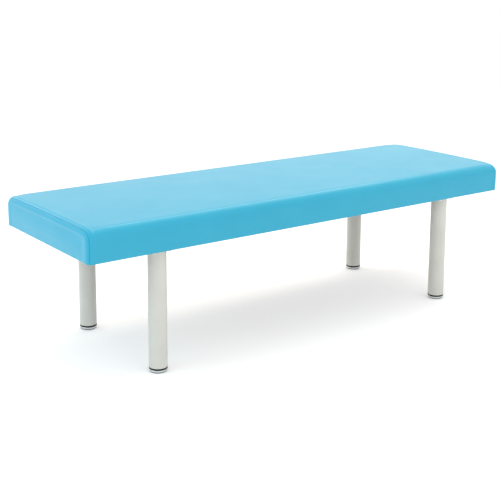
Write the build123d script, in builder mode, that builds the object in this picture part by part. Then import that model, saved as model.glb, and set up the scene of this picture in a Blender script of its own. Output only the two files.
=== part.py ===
"""Treatment table: a padded vinyl top on a timber frame, standing on four steel legs.

Millimetres, +Z up. The origin is on the floor under the middle of the table. X runs
along the table's length and Y across it; the front is the side at -Y.
"""
import os
from itertools import product
from math import cos, pi

from build123d import *

# Overall sizes
table_length = 1800.0
table_width = 600.0
table_height = 515.0
pad_height = 108.0

# Cushion shape
long_edge_radius = 33.0
end_edge_radius = 12.0
crown_rise = 4.0
crown_end_drop = 1.5
side_draw_in = 1.0
waist_draw_in = 1.0
crown_shares = ((-1.0, 1.0), (-0.6, 0.0), (0.0, 0.0), (0.6, 0.0), (1.0, 1.0))

# Cover and soft layers
cover_skin = 1.0
soft_gap = 0.3
seam_setback = 4.0
hem_width = 40.0
hem_trim = 1.5
wadding_thickness = 4.0
dust_cover_thickness = 0.6
dust_cover_setback = 12.0
dust_cover_corner = 6.0

# Timber frame
rail_thickness = 18.0
rail_height = 45.0
rail_corner_radius = 8.0
deck_thickness = 9.0
leg_beam_width = 110.0
beam_edge_radius = 2.0

# Wood screws and staples
screw_radius = 2.0
screw_head_radius = 4.0
screw_hole_clearance = 0.3
screw_angle = 90
deck_screw_length = 35.0
frame_screw_length = 60.0
rail_screw_count = 12
rail_screw_margin = 60.0
cross_screw_pitch = 180.0
frame_screw_low = 12.0
frame_screw_high = 33.0
end_screw_setback = 12.0
beam_screw_offset = 15.0
staple_width = 10.0
staple_wire = 1.2
staple_thickness = 0.6
staple_leg = 9.0
staple_pitch = 62.0
staple_margin = 45.0

# Legs
leg_end_inset = 267.0
leg_side_inset = 59.0
tube_radius = 30.25
tube_wall = 2.3
plate_size = 90.0
plate_thickness = 4.5
plate_corner_radius = 10.0
bolt_offset = 29.5
bolt_radius = 4.0
bolt_length = 25.0
bolt_head_flats = 13.0
bolt_head_height = 5.3
bolt_hole_clearance = 0.5
washer_radius = 8.5
washer_thickness = 1.6
insert_nut_radius = 6.0
insert_nut_length = 20.0
thread_clearance = 0.05

# Black end plug with its captive nut
plug_flange_height = 5.5
plug_spigot_height = 28.0
plug_spigot_wall = 3.0
plug_spigot_gap = 0.1
plug_boss_radius = 13.5
plug_boss_height = 20.0
plug_rib_height = 18.0
plug_rib_thickness = 2.5
plug_bore_clearance = 1.0
nut_flats = 19.0
nut_height = 10.0
nut_pocket_gap = 0.1

# Levelling foot
stud_radius = 6.0
stud_top = 60.0
stud_chamfer = 1.0
stud_head_height = 6.0
foot_radius = 30.0
foot_height = 9.0
foot_wall = 1.5
foot_ground_gap = 1.0
foot_top_rounding = 1.2
foot_bottom_rounding = 0.9
foot_lip = 1.2
foot_lip_height = 1.0
glide_running_gap = 0.08
glide_axial_gap = 0.1
glide_head_gap = 0.2
glide_rounding = 0.5

# How far the lofted form starts below the hem, before it is cut flat
overrun = 5.0

# Levels from the floor upwards
foot_bottom = foot_ground_gap
foot_top = foot_bottom + foot_height
tube_bottom = foot_top + plug_flange_height
pad_bottom = table_height - pad_height
frame_bottom = pad_bottom + cover_skin
frame_top = frame_bottom + rail_height
deck_top = frame_top + deck_thickness
plate_bottom = frame_bottom - plate_thickness
dust_cover_bottom = pad_bottom - dust_cover_thickness
washer_bottom = plate_bottom - washer_thickness

# Places on the plan
frame_half_length = table_length / 2 - cover_skin - wadding_thickness
frame_half_width = table_width / 2 - cover_skin - wadding_thickness
member_half_length = frame_half_width - rail_thickness
rail_y = frame_half_width - rail_thickness / 2
end_rail_x = frame_half_length - rail_thickness / 2
seam_x = table_length / 2 - seam_setback
leg_x = table_length / 2 - leg_end_inset
leg_y = table_width / 2 - leg_side_inset
cross_rail_places = {"left": -leg_x / 2, "centre": 0.0, "right": leg_x / 2}
leg_beam_places = {"left": -leg_x, "right": leg_x}
end_places = {"left": -1, "right": 1}
long_side_places = {"front": -1, "back": 1}
leg_places = {
    f"{side}_{end}": (end_sign * leg_x, side_sign * leg_y)
    for (side, side_sign), (end, end_sign) in product(long_side_places.items(), end_places.items())
}

# Fits that follow from the sizes above
tube_inner_radius = tube_radius - tube_wall
plug_spigot_radius = tube_inner_radius - plug_spigot_gap
plug_bore_radius = stud_radius + plug_bore_clearance
foot_inner_radius = foot_radius - foot_wall
foot_lip_radius = foot_inner_radius - foot_lip
stud_head_bottom = foot_top - foot_wall - stud_head_height
glide_body_radius = foot_inner_radius - glide_running_gap
glide_rim_radius = foot_lip_radius - glide_running_gap


def corner_radius(flats):
    """Distance from a hexagon's centre to its corners, for the width across its flats."""
    return flats / 2 / cos(pi / 6)


glide_pocket_radius = corner_radius(nut_flats) + glide_head_gap

os.makedirs("parts", exist_ok=True)


def save(part, name):
    """Name a finished piece and write its file."""
    part.label = name
    export_step(part, f"parts/{name}.step")


def cushion_form(inset, bottom):
    """The cushion's outer form, drawn in by inset on every side, flat at bottom.

    Five cross-sections are lofted along the length: a crowned top, soft long edges and
    sides that draw in towards the hem. The two ends then get their tighter edge.
    """
    top = table_height - inset
    base = pad_bottom - overrun
    side_middle = pad_bottom + pad_height / 2
    with BuildPart() as form:
        for place, end_share in crown_shares:
            half_width = table_width / 2 - inset - waist_draw_in * (1 - end_share)
            apex = top - crown_end_drop * end_share
            shoulder = top - crown_rise
            with BuildSketch(Plane.YZ.offset(place * (table_length / 2 - inset))) as section:
                with BuildLine():
                    Line((side_draw_in - half_width, base), (half_width - side_draw_in, base))
                    for sign in (-1, 1):
                        Line((sign * half_width, shoulder), (sign * half_width, side_middle))
                        TangentArc(
                            (sign * half_width, side_middle),
                            (sign * (half_width - side_draw_in), base),
                            tangent=(0, -1),
                        )
                    ThreePointArc((-half_width, shoulder), (0, apex), (half_width, shoulder))
                make_face()
                fillet(section.vertices().group_by(Axis.Y)[-1], long_edge_radius - inset)
        loft()
        end_faces = form.faces().filter_by(GeomType.PLANE).sort_by(Axis.X)
        rims = [
            edge
            for face in (end_faces[0], end_faces[-1])
            for edge in face.edges()
            if edge.center().Z > pad_bottom
        ]
        fillet(rims, end_edge_radius - inset)
        split(bisect_by=Plane.XY.offset(bottom), keep=Keep.TOP)
    return form.part


def leg_plane(place, height):
    """The level plane at a height on a leg's axis."""
    return Plane(origin=(*place, height))


# Vinyl cover: a main panel over the top and down the long sides, and two sewn end panels.
outer_walls = cushion_form(0, frame_bottom)
inner_walls = cushion_form(cover_skin, frame_bottom)
with BuildPart() as cover_walls:
    add(outer_walls)
    add(inner_walls, mode=Mode.SUBTRACT)

# The hem folded under the frame, trimmed round the leg plates.
outer_form = cushion_form(0, pad_bottom)
with BuildPart() as hem_ring:
    add(outer_form)
    split(bisect_by=Plane.XY.offset(frame_bottom), keep=Keep.BOTTOM)
    with BuildSketch(Plane.XY.offset(pad_bottom)):
        Rectangle(table_length - 2 * hem_width, table_width - 2 * hem_width)
        for leg_place in leg_places.values():
            with Locations(leg_place):
                Rectangle(plate_size + 2 * hem_trim, plate_size + 2 * hem_trim)
    extrude(amount=cover_skin, mode=Mode.SUBTRACT)


def hem_mitre(end_sign):
    """The outline of the hem folded under one end, with its mitred corners, as a solid."""
    outer_x, inner_x = table_length / 2, table_length / 2 - hem_width
    outer_y, inner_y = table_width / 2, table_width / 2 - hem_width
    with BuildPart() as mitre:
        with BuildSketch(Plane.XY.offset(pad_bottom)):
            with BuildLine():
                Polyline(
                    (end_sign * inner_x, -inner_y),
                    (end_sign * outer_x, -outer_y),
                    (end_sign * outer_x, outer_y),
                    (end_sign * inner_x, inner_y),
                    close=True,
                )
            make_face()
        extrude(amount=cover_skin)
    return mitre.part


mitres = {end: hem_mitre(sign) for end, sign in end_places.items()}

with BuildPart() as long_hems:
    add(hem_ring.part)
    add(mitres.values(), mode=Mode.SUBTRACT)

with BuildPart() as cover_main_panel:
    add(cover_walls.part)
    split(bisect_by=Plane.YZ.offset(seam_x), keep=Keep.BOTTOM)
    split(bisect_by=Plane.YZ.offset(-seam_x), keep=Keep.TOP)
    add(long_hems.part)
save(cover_main_panel.part, "cover_main_panel")

for end, sign in end_places.items():
    with BuildPart() as end_hem:
        add(hem_ring.part)
        add(mitres[end], mode=Mode.INTERSECT)
    with BuildPart() as cover_end:
        add(cover_walls.part)
        split(bisect_by=Plane.YZ.offset(sign * seam_x), keep=Keep.TOP if sign > 0 else Keep.BOTTOM)
        add(end_hem.part)
    save(cover_end.part, f"cover_end_{end}")


# Foam block on the deck, crowned as the finished cushion is.
foam_pad = cushion_form(cover_skin + soft_gap, deck_top)
save(foam_pad, "foam_pad")


def frame_block(bottom, top):
    """The frame's outline with its rounded corners, as a solid between two levels."""
    with BuildPart() as block:
        with BuildSketch(Plane.XY.offset(bottom)):
            RectangleRounded(2 * frame_half_length, 2 * frame_half_width, rail_corner_radius)
        extrude(amount=top - bottom)
    return block.part


# Thin wadding wrapped round the sides of the frame and the deck's edge.
padded_form = cushion_form(cover_skin + soft_gap, frame_bottom)
frame_and_deck = frame_block(frame_bottom, deck_top)
with BuildPart() as side_wadding:
    add(padded_form)
    split(bisect_by=Plane.XY.offset(deck_top), keep=Keep.BOTTOM)
    add(frame_and_deck, mode=Mode.SUBTRACT)
save(side_wadding.part, "side_wadding")


def deck_screw_places():
    """Screws through the deck into every rail, beam and cross rail below it."""
    pitch = 2 * (frame_half_length - rail_screw_margin) / (rail_screw_count - 1)
    along = [(i - (rail_screw_count - 1) / 2) * pitch for i in range(rail_screw_count)]
    places = [(x, sign * rail_y) for x in along for sign in (-1, 1)]
    members = [*cross_rail_places.values(), *leg_beam_places.values(), -end_rail_x, end_rail_x]
    return places + [(x, step * cross_screw_pitch) for x in members for step in (-1, 0, 1)]


# Plywood deck, screwed down on the frame.
deck_blank = frame_block(frame_top, deck_top)
with BuildPart() as deck_board:
    add(deck_blank)
    with Locations(*[(x, y, deck_top) for x, y in deck_screw_places()]):
        CounterSinkHole(
            screw_radius + screw_hole_clearance,
            screw_head_radius,
            depth=deck_thickness,
            counter_sink_angle=screw_angle,
        )
save(deck_board.part, "deck_board")


def frame_screw_places():
    """Heights and places along a long rail of the screws into the members behind it."""
    end_screw_x = frame_half_length - end_screw_setback
    along = [*cross_rail_places.values(), -end_screw_x, end_screw_x]
    along += [x + step * beam_screw_offset for x in leg_beam_places.values() for step in (-1, 1)]
    return list(product(along, (frame_bottom + frame_screw_low, frame_bottom + frame_screw_high)))


def rail_face_plane(sign, x, z):
    """A plane on a long rail's outer face, looking outwards."""
    return Plane(origin=(x, sign * frame_half_width, z), x_dir=(1, 0, 0), z_dir=(0, sign, 0))


# Long rails, full length, with their ends rounded to the cushion's corners.
rails_blank = frame_block(frame_bottom, frame_top)
for side, sign in long_side_places.items():
    with BuildPart() as long_rail:
        add(rails_blank)
        rail_inner_plane = Plane.XZ.offset(-sign * member_half_length)
        split(bisect_by=rail_inner_plane, keep=Keep.BOTTOM if sign > 0 else Keep.TOP)
        with Locations(*[rail_face_plane(sign, x, z) for x, z in frame_screw_places()]):
            CounterSinkHole(
                screw_radius + screw_hole_clearance,
                screw_head_radius,
                depth=rail_thickness,
                counter_sink_angle=screw_angle,
            )
    save(long_rail.part, f"rail_{side}")


def member(x, width):
    """A plain timber between the two long rails, with its long edges just broken."""
    with BuildPart() as timber:
        with BuildSketch(Plane.XZ.offset(-member_half_length)):
            with Locations((x, frame_bottom + rail_height / 2)):
                RectangleRounded(width, rail_height, beam_edge_radius)
        extrude(amount=2 * member_half_length)
    return timber.part


# End rails and cross rails.
for end, sign in end_places.items():
    save(member(sign * end_rail_x, rail_thickness), f"end_rail_{end}")
for place_name, x in cross_rail_places.items():
    save(member(x, rail_thickness), f"cross_rail_{place_name}")


def bolt_places(place):
    """The four bolt places round a leg, at the corners of a square."""
    offsets = product((-bolt_offset, bolt_offset), repeat=2)
    return [(place[0] + dx, place[1] + dy) for dx, dy in offsets]


# Wide leg beams, drilled from below for the threaded inserts that take the leg bolts.
for end, x in leg_beam_places.items():
    insert_places = [p for place in leg_places.values() if place[0] == x for p in bolt_places(place)]
    beam_blank = member(x, leg_beam_width)
    with BuildPart() as leg_beam:
        add(beam_blank)
        with BuildSketch(Plane.XY.offset(frame_bottom)):
            with Locations(*insert_places):
                Circle(insert_nut_radius)
        extrude(amount=insert_nut_length, mode=Mode.SUBTRACT)
    save(leg_beam.part, f"leg_beam_{end}")

# Threaded inserts, flush with the underside of the leg beams.
with BuildPart() as leg_insert_nuts:
    with BuildSketch(Plane.XY.offset(frame_bottom)):
        with Locations(*[p for place in leg_places.values() for p in bolt_places(place)]):
            Circle(insert_nut_radius)
            Circle(bolt_radius + thread_clearance, mode=Mode.SUBTRACT)
    extrude(amount=insert_nut_length)
save(leg_insert_nuts.part, "leg_insert_nuts")


def wood_screw(length):
    """A countersunk screw hanging down from the origin."""
    head_depth = screw_head_radius - screw_radius
    with BuildPart() as screw:
        with BuildSketch(Plane.XZ):
            with BuildLine():
                Polyline(
                    (0, 0),
                    (screw_head_radius, 0),
                    (screw_radius, -head_depth),
                    (screw_radius, screw_radius - length),
                    (0, -length),
                    close=True,
                )
            make_face()
        revolve(axis=Axis.Z)
    return screw.part


# Screws that hold the deck, and screws that hold the rails to the members.
deck_screw = wood_screw(deck_screw_length)
with BuildPart() as deck_screws:
    with Locations(*[(x, y, deck_top) for x, y in deck_screw_places()]):
        add(deck_screw)
save(deck_screws.part, "deck_screws")

frame_screw = wood_screw(frame_screw_length)
with BuildPart() as frame_screws:
    for sign in long_side_places.values():
        with Locations(*[rail_face_plane(sign, x, z) for x, z in frame_screw_places()]):
            add(frame_screw)
save(frame_screws.part, "frame_screws")


# Non-woven dust cover over the hems and the open frame, cut out round the leg plates.
with BuildPart() as dust_cover:
    with BuildSketch(Plane.XY.offset(dust_cover_bottom)):
        RectangleRounded(
            table_length - 2 * dust_cover_setback,
            table_width - 2 * dust_cover_setback,
            dust_cover_corner,
        )
        for leg_place in leg_places.values():
            with Locations(leg_place):
                RectangleRounded(
                    plate_size + 2 * hem_trim,
                    plate_size + 2 * hem_trim,
                    plate_corner_radius + hem_trim,
                    mode=Mode.SUBTRACT,
                )
    extrude(amount=dust_cover_thickness)
save(dust_cover.part, "dust_cover")


def staple_row(half_length, blocked):
    """Evenly pitched places along a row, without those under a leg plate."""
    steps = int((half_length - staple_margin) // staple_pitch)
    keep_off = plate_size / 2 + hem_trim + staple_width
    places = [i * staple_pitch for i in range(-steps, steps + 1)]
    return [p for p in places if all(abs(p - b) > keep_off for b in blocked)]


long_staples = list(product(staple_row(frame_half_length, leg_beam_places.values()), (-rail_y, rail_y)))
end_staples = list(product((-end_rail_x, end_rail_x), staple_row(member_half_length, ())))
staple_leg_pitch = staple_width - staple_thickness

# Staples through the dust cover and the hem into the rails: crowns first, then their legs.
with BuildPart() as underside_staples:
    with BuildSketch(Plane.XY.offset(dust_cover_bottom - staple_thickness)):
        with Locations(*long_staples):
            Rectangle(staple_width, staple_wire)
        with Locations(*end_staples):
            Rectangle(staple_wire, staple_width)
    extrude(amount=staple_thickness)
    with BuildSketch(Plane.XY.offset(dust_cover_bottom)):
        with Locations(*long_staples):
            with GridLocations(staple_leg_pitch, 0, 2, 1):
                Rectangle(staple_thickness, staple_wire)
        with Locations(*end_staples):
            with GridLocations(0, staple_leg_pitch, 1, 2):
                Rectangle(staple_wire, staple_thickness)
    extrude(amount=staple_leg)
save(underside_staples.part, "underside_staples")


def mount_plate_at(place):
    """The square plate welded on top of a leg."""
    with BuildPart() as mount_plate:
        with BuildSketch(leg_plane(place, plate_bottom)):
            RectangleRounded(plate_size, plate_size, plate_corner_radius)
            with GridLocations(2 * bolt_offset, 2 * bolt_offset, 2, 2):
                Circle(bolt_radius + bolt_hole_clearance, mode=Mode.SUBTRACT)
        extrude(amount=plate_thickness)
    return mount_plate.part


def leg_tube_at(place):
    """The round steel tube of a leg."""
    with BuildPart() as leg_tube:
        with BuildSketch(leg_plane(place, tube_bottom)):
            Circle(tube_radius)
            Circle(tube_inner_radius, mode=Mode.SUBTRACT)
        extrude(amount=plate_bottom - tube_bottom)
    return leg_tube.part


def leg_bolts_at(place):
    """Four hexagon bolts, put in from below."""
    with BuildPart() as leg_bolts:
        with BuildSketch(leg_plane(place, washer_bottom - bolt_head_height)):
            with GridLocations(2 * bolt_offset, 2 * bolt_offset, 2, 2):
                RegularPolygon(corner_radius(bolt_head_flats), 6)
        extrude(amount=bolt_head_height)
        with BuildSketch(leg_plane(place, washer_bottom)):
            with GridLocations(2 * bolt_offset, 2 * bolt_offset, 2, 2):
                Circle(bolt_radius)
        extrude(amount=bolt_length)
    return leg_bolts.part


def leg_washers_at(place):
    """A flat washer under each bolt head."""
    with BuildPart() as leg_washers:
        with BuildSketch(leg_plane(place, washer_bottom)):
            with GridLocations(2 * bolt_offset, 2 * bolt_offset, 2, 2):
                Circle(washer_radius)
                Circle(bolt_radius, mode=Mode.SUBTRACT)
        extrude(amount=washer_thickness)
    return leg_washers.part


def end_plug_at(place):
    """The black plastic plug in the tube's lower end, with a hexagon pocket for its nut."""
    with BuildPart() as end_plug:
        with BuildSketch(leg_plane(place, foot_top)):
            Circle(tube_radius)
        extrude(amount=plug_flange_height)
        with BuildSketch(leg_plane(place, tube_bottom)):
            Circle(plug_spigot_radius)
            Circle(plug_spigot_radius - plug_spigot_wall, mode=Mode.SUBTRACT)
        extrude(amount=plug_spigot_height)
        with BuildSketch(leg_plane(place, tube_bottom)):
            Rectangle(2 * (plug_spigot_radius - plug_spigot_wall / 2), plug_rib_thickness)
            Rectangle(plug_rib_thickness, 2 * (plug_spigot_radius - plug_spigot_wall / 2))
        extrude(amount=plug_rib_height)
        with BuildSketch(leg_plane(place, tube_bottom)):
            Circle(plug_boss_radius)
        extrude(amount=plug_boss_height)
        with BuildSketch(leg_plane(place, foot_top)):
            Circle(plug_bore_radius)
        extrude(amount=plug_flange_height + plug_boss_height, mode=Mode.SUBTRACT)
        with BuildSketch(leg_plane(place, tube_bottom + plug_boss_height - nut_height)):
            RegularPolygon(corner_radius(nut_flats) + nut_pocket_gap, 6)
        extrude(amount=nut_height, mode=Mode.SUBTRACT)
    return end_plug.part


def plug_nut_at(place):
    """The steel nut that the end plug holds."""
    with BuildPart() as plug_nut:
        with BuildSketch(leg_plane(place, tube_bottom + plug_boss_height - nut_height)):
            RegularPolygon(corner_radius(nut_flats), 6)
            Circle(stud_radius + thread_clearance, mode=Mode.SUBTRACT)
        extrude(amount=nut_height)
    return plug_nut.part


def adjuster_stud_at(place):
    """The threaded stud, its low hexagon head held inside the foot."""
    with BuildPart() as adjuster_stud:
        with BuildSketch(leg_plane(place, stud_head_bottom)):
            RegularPolygon(corner_radius(nut_flats), 6)
        extrude(amount=stud_head_height)
        with BuildSketch(leg_plane(place, stud_head_bottom)):
            Circle(stud_radius)
        extrude(amount=stud_top - stud_head_bottom)
        chamfer(adjuster_stud.edges().sort_by(Axis.Z)[-1], stud_chamfer)
    return adjuster_stud.part


def turned(place, outline, roundings=()):
    """A turned piece from an outline of radius and height points, some corners rounded."""
    axis_plane = Plane(origin=(*place, 0), x_dir=(1, 0, 0), z_dir=(0, -1, 0))
    with BuildPart() as turning:
        with BuildSketch(axis_plane) as profile:
            with BuildLine():
                Polyline(*outline, close=True)
            make_face()
            for corner, radius in roundings:
                fillet(profile.vertices().sort_by_distance((*outline[corner], 0))[0], radius)
        revolve(axis=Axis((*place, 0), (0, 0, 1)))
    return turning.part


def adjuster_foot_at(place):
    """The chromed steel cup that is turned by hand, its lower rim rolled in round the glide."""
    outline = (
        (stud_radius, foot_top),
        (foot_radius, foot_top),
        (foot_radius, foot_bottom),
        (foot_lip_radius, foot_bottom),
        (foot_lip_radius, foot_bottom + foot_lip_height),
        (foot_inner_radius, foot_bottom + foot_lip_height),
        (foot_inner_radius, foot_top - foot_wall),
        (stud_radius, foot_top - foot_wall),
    )
    return turned(place, outline, ((1, foot_top_rounding), (2, foot_bottom_rounding)))


def glide_at(place):
    """The nylon glide, captive in the cup: it stands still while the cup turns on it."""
    shoulder = foot_bottom + foot_lip_height + glide_axial_gap
    glide_top = foot_top - foot_wall - glide_axial_gap
    outline = (
        (0, 0),
        (glide_rim_radius, 0),
        (glide_rim_radius, shoulder),
        (glide_body_radius, shoulder),
        (glide_body_radius, glide_top),
        (glide_pocket_radius, glide_top),
        (glide_pocket_radius, stud_head_bottom),
        (0, stud_head_bottom),
    )
    return turned(place, outline, ((1, glide_rounding),))


# The four legs, each with its plate, tube, bolts, plug and levelling foot.
leg_pieces = {
    "mount_plate": mount_plate_at,
    "leg_tube": leg_tube_at,
    "leg_bolts": leg_bolts_at,
    "leg_washers": leg_washers_at,
    "end_plug": end_plug_at,
    "plug_nut": plug_nut_at,
    "adjuster_stud": adjuster_stud_at,
    "adjuster_foot": adjuster_foot_at,
    "glide": glide_at,
}
for leg_name, leg_place in leg_places.items():
    for piece_name, make_piece in leg_pieces.items():
        save(make_piece(leg_place), f"{piece_name}_{leg_name}")
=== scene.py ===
from itertools import product
from math import atan2, copysign, cos, pi, radians, sin, tan

import bmesh
import bpy
import numpy as np
from mathutils import Matrix, Vector, noise
from mathutils.geometry import delaunay_2d_cdt


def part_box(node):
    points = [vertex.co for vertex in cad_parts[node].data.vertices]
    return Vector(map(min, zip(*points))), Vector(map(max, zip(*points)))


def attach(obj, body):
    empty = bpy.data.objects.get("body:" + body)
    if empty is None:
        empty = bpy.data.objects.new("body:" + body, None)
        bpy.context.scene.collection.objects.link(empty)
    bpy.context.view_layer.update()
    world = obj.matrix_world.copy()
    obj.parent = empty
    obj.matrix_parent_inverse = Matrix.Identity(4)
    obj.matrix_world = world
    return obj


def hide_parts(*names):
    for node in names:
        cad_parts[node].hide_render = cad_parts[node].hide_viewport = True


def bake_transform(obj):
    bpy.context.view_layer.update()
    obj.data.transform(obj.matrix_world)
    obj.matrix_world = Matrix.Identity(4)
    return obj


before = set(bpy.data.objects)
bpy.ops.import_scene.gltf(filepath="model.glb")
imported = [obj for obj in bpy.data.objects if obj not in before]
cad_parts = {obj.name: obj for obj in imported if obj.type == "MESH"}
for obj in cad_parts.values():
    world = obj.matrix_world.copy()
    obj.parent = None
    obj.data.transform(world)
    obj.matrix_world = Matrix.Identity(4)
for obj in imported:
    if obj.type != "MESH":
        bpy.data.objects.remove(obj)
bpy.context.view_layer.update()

# Timber frame and deck. Two long rails, end rails, cross rails and wide leg beams of planed pine
# carry a plywood deck. The rails are screwed to the members from outside, the deck from above.
# The cover hides them all, so they keep their plain planed shapes and get their grain.
mm = 0.001
pine_light = (0.76, 0.56, 0.33)
pine_dark = (0.55, 0.35, 0.17)
birch_light = (0.74, 0.58, 0.38)
birch_dark = (0.56, 0.40, 0.23)
long_timbers = ("rail_front", "rail_back")
cross_timbers = (
    "end_rail_left", "end_rail_right", "cross_rail_left", "cross_rail_centre", "cross_rail_right",
    "leg_beam_left", "leg_beam_right",
)


def new_finish(name, color, roughness, metallic=0.0):
    """A material, its shader and its tree, alike all over until a pattern is added."""
    finish = bpy.data.materials.new(name)
    finish.use_nodes = True
    shader = finish.node_tree.nodes["Principled BSDF"]
    shader.inputs["Base Color"].default_value = (*color, 1)
    shader.inputs["Roughness"].default_value = roughness
    shader.inputs["Metallic"].default_value = metallic
    return finish, shader, finish.node_tree


def add_node(tree, kind, inputs=None, output=0, **settings):
    """One output of a new node; an input given as a socket is linked, any other is set."""
    node = tree.nodes.new(kind)
    for name, value in settings.items():
        setattr(node, name, value)
    for key, value in (inputs or {}).items():
        if isinstance(value, bpy.types.NodeSocket):
            tree.links.new(value, node.inputs[key])
        else:
            node.inputs[key].default_value = value
    return node.outputs[output]


def stretched_points(tree, stretch=(1, 1, 1)):
    """The piece's own coordinates, stretched to draw a pattern out."""
    place = add_node(tree, "ShaderNodeTexCoord", output="Object")
    return add_node(tree, "ShaderNodeMapping", {"Vector": place, "Scale": stretch})


def cloudy(points, scale, detail=2.0, roughness=0.5):
    """A cloudy value from 0 to 1."""
    inputs = {"Vector": points, "Scale": scale, "Detail": detail, "Roughness": roughness}
    return add_node(points.id_data, "ShaderNodeTexNoise", inputs, "Fac")


def spread(value, start, end, low=0.0, high=1.0):
    """A value moved from one range to another, and kept inside it."""
    inputs = {"Value": value, "From Min": start, "From Max": end, "To Min": low, "To Max": high}
    return add_node(value.id_data, "ShaderNodeMapRange", inputs)


def two_colors(share, first, second):
    """A colour between two others; either may come from another node."""
    first, second = [c if isinstance(c, bpy.types.NodeSocket) else (*c, 1) for c in (first, second)]
    return add_node(share.id_data, "ShaderNodeMix", {0: share, 6: first, 7: second}, 2, data_type="RGBA")


def add_pattern(shader, color, roughness, *reliefs):
    """Link a colour, a roughness if there is one, and relief from heights and depths in metres."""
    tree = shader.id_data
    tree.links.new(color, shader.inputs["Base Color"])
    if roughness:
        tree.links.new(roughness, shader.inputs["Roughness"])
    normal = None
    for height, depth in reliefs:
        inputs = {"Height": height, "Distance": depth}
        if normal:
            inputs["Normal"] = normal
        normal = add_node(tree, "ShaderNodeBump", inputs)
    tree.links.new(normal, shader.inputs["Normal"])


def wood_finish(name, light, dark, stretch, ring_scale):
    """Planed softwood or veneer with its rings drawn out along the grain."""
    finish, shader, tree = new_finish(name, light, 0.62)
    points = stretched_points(tree, stretch)
    inputs = {"Vector": points, "Scale": ring_scale, "Distortion": 6.0, "Detail": 3.0, "Detail Scale": 1.5}
    rings = add_node(tree, "ShaderNodeTexWave", inputs, "Fac")
    fibre = cloudy(points, ring_scale * 14, 3.0)
    grain = two_colors(spread(rings, 0.35, 1.0), light, dark)
    color = two_colors(spread(fibre, 0.4, 0.9, 0.0, 0.35), grain, dark)
    add_pattern(shader, color, None, (fibre, 0.08 * mm), (rings, 0.05 * mm))
    return finish


def dress(finish, *names):
    """Give CAD nodes a finish."""
    for name in names:
        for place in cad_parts[name].material_slots:
            place.material = finish


dress(wood_finish("pine_along", pine_light, pine_dark, (0.06, 1, 1), 34), *long_timbers)
dress(wood_finish("pine_across", pine_light, pine_dark, (1, 0.06, 1), 34), *cross_timbers)
dress(wood_finish("birch_ply", birch_light, birch_dark, (0.10, 1, 1), 16), "deck_board")

# Steel fixings inside the frame: countersunk wood screws with a yellow passivated zinc skin,
# and the bright zinc threaded inserts and plug nuts that the bolts and feet screw into.
zinc_light = (0.72, 0.73, 0.75)
zinc_dark = (0.50, 0.52, 0.55)
yellow_zinc_light = (0.80, 0.66, 0.34)
yellow_zinc_dark = (0.62, 0.44, 0.20)
leg_names = ("front_left", "front_right", "back_left", "back_right")


def plated_finish(name, light, dark, roughness):
    """Electroplated steel with cloudy passivation and fine tool marks."""
    finish, shader, tree = new_finish(name, light, roughness, 1.0)
    points = stretched_points(tree)
    clouds = cloudy(points, 160, 4.0, 0.6)
    marks = cloudy(points, 2600)
    add_pattern(shader, two_colors(spread(clouds, 0.35, 0.7), light, dark),
                spread(clouds, 0.3, 0.8, roughness - 0.08, roughness + 0.12), (marks, 0.02 * mm))
    return finish


bright_zinc = plated_finish("bright_zinc", zinc_light, zinc_dark, 0.34)
yellow_zinc = plated_finish("yellow_zinc", yellow_zinc_light, yellow_zinc_dark, 0.38)
dress(yellow_zinc, "deck_screws", "frame_screws")
dress(bright_zinc, "leg_insert_nuts", *[f"plug_nut_{leg}" for leg in leg_names])

# Foam block. Cut polyether foam, crowned on top, standing on the deck inside the cover.
# Its end edges are rounded further than the cover's, to leave room for the sewn-in seams.
pad_low, pad_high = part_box("cover_main_panel")
half_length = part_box("cover_end_right")[1].x
half_width = pad_high.y
pad_top = pad_high.z
pad_bottom = pad_low.z
pad_height = pad_top - pad_bottom
side_middle = pad_bottom + pad_height / 2
long_edge_radius = 33 * mm
end_edge_radius = 20 * mm
crown_rise = 4 * mm
crown_end_drop = 1.5 * mm
side_draw_in = 1.0 * mm
waist_draw_in = 1.0 * mm
waist_start_share = 0.6
corner_droop = 4 * mm
corner_reach = 70 * mm
edge_y_margin = 15 * mm
side_steps, edge_steps, crown_steps = 16, 12, 24
foam_inset = 1.6 * mm
foam_end_radius = 34 * mm
foam_rows = 90
foam_end_steps = 10
foam_cream = (0.86, 0.80, 0.60)
foam_shade = (0.70, 0.62, 0.42)
sharp_angle = radians(38)
merge_distance = 0.002 * mm


def end_share(x):
    """How far the cross-section at x has gone from its waist, 0, to its full end, 1."""
    past = np.clip((np.abs(x) / half_length - waist_start_share) / (1 - waist_start_share), 0, 1)
    return past * past


def smooth_share(value, start, end):
    """0 before start, 1 after end, and a soft step between."""
    share = np.clip((value - start) / (end - start), 0, 1)
    return share * share * (3 - 2 * share)


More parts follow.
